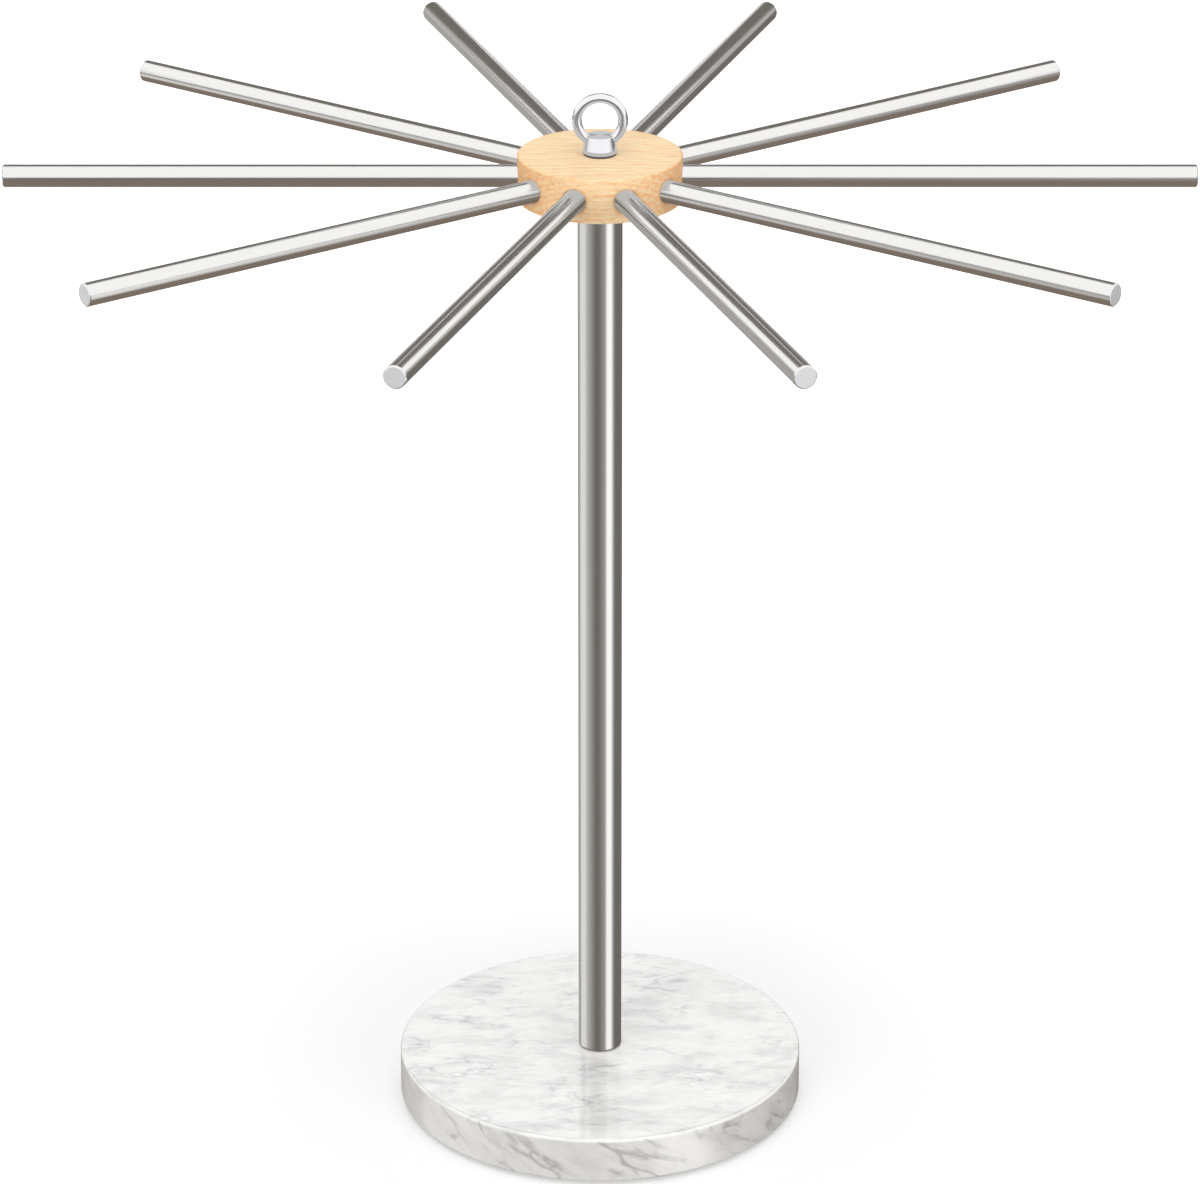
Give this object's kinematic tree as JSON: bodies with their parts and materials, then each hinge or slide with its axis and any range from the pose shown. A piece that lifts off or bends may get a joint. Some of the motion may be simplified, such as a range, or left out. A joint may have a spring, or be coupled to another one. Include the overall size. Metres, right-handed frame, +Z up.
{
  "type": "pasta drying rack",
  "caption": "Free-standing pasta drying rack: round marble foot, steel post and a turning wooden hub with straight steel rods around it, held down by an eye nut.",
  "frame": {"origin": "centre of the non-slip pad's underside, on the surface that the rack stands on", "axes": "+Z up along the post, +X along the first rod, and the eye nut's ring lies in the XZ plane"},
  "size_m": [0.418, 0.3998, 0.3916],
  "materials": {
    "pad_rubber": "matte",
    "white_marble": "gloss",
    "zinc_steel": "satin",
    "post_steel": "satin",
    "plug_steel": "satin",
    "hub_wood": "satin",
    "bush_nylon": "matte",
    "polished_steel": "polished",
    "rod_steel": "satin"
  },
  "bodies": {
    "stand": {"base_pad": "pad_rubber", "marble_base": "white_marble", "base_washer": "zinc_steel", "base_screw": "zinc_steel", "post_tube": "post_steel", "post_foot_plug": "plug_steel", "post_head_plug": "plug_steel", "spindle": "plug_steel"},
    "hub_wheel": {"hub": "hub_wood", "hub_bush": "bush_nylon"},
    "eye_nut": {"eye_nut": "polished_steel"},
    "rod_01": {"rod_01": "rod_steel"},
    "rod_02": {"rod_02": "rod_steel"},
    "rod_03": {"rod_03": "rod_steel"},
    "rod_04": {"rod_04": "rod_steel"},
    "rod_05": {"rod_05": "rod_steel"},
    "rod_06": {"rod_06": "rod_steel"},
    "rod_07": {"rod_07": "rod_steel"},
    "rod_08": {"rod_08": "rod_steel"},
    "rod_09": {"rod_09": "rod_steel"},
    "rod_10": {"rod_10": "rod_steel"}
  },
  "joints": [
    {"name": "hub_turn", "type": "hinge", "parent": "stand", "child": "hub_wheel", "pos_m": [0, 0, 0.3615], "axis": [0, 0, 1], "continuous": true},
    {"name": "eye_nut_turn", "type": "hinge", "parent": "stand", "child": "eye_nut", "pos_m": [0, 0, 0.3702], "axis": [0, 0, 1], "range_deg": [0, 2250]},
    {"name": "rod_01_pull", "type": "slide", "parent": "hub_wheel", "child": "rod_01", "axis": [1, 0, 0], "range_m": [0, 0.013]},
    {"name": "rod_02_pull", "type": "slide", "parent": "hub_wheel", "child": "rod_02", "axis": [0.809, 0.5878, 0], "range_m": [0, 0.013]},
    {"name": "rod_03_pull", "type": "slide", "parent": "hub_wheel", "child": "rod_03", "axis": [0.309, 0.9511, 0], "range_m": [0, 0.013]},
    {"name": "rod_04_pull", "type": "slide", "parent": "hub_wheel", "child": "rod_04", "axis": [-0.309, 0.9511, 0], "range_m": [0, 0.013]},
    {"name": "rod_05_pull", "type": "slide", "parent": "hub_wheel", "child": "rod_05", "axis": [-0.809, 0.5878, 0], "range_m": [0, 0.013]},
    {"name": "rod_06_pull", "type": "slide", "parent": "hub_wheel", "child": "rod_06", "axis": [-1, 0, 0], "range_m": [0, 0.013]},
    {"name": "rod_07_pull", "type": "slide", "parent": "hub_wheel", "child": "rod_07", "axis": [-0.809, -0.5878, 0], "range_m": [0, 0.013]},
    {"name": "rod_08_pull", "type": "slide", "parent": "hub_wheel", "child": "rod_08", "axis": [-0.309, -0.9511, 0], "range_m": [0, 0.013]},
    {"name": "rod_09_pull", "type": "slide", "parent": "hub_wheel", "child": "rod_09", "axis": [0.309, -0.9511, 0], "range_m": [0, 0.013]},
    {"name": "rod_10_pull", "type": "slide", "parent": "hub_wheel", "child": "rod_10", "axis": [0.809, -0.5878, 0], "range_m": [0, 0.013]}
  ]
}
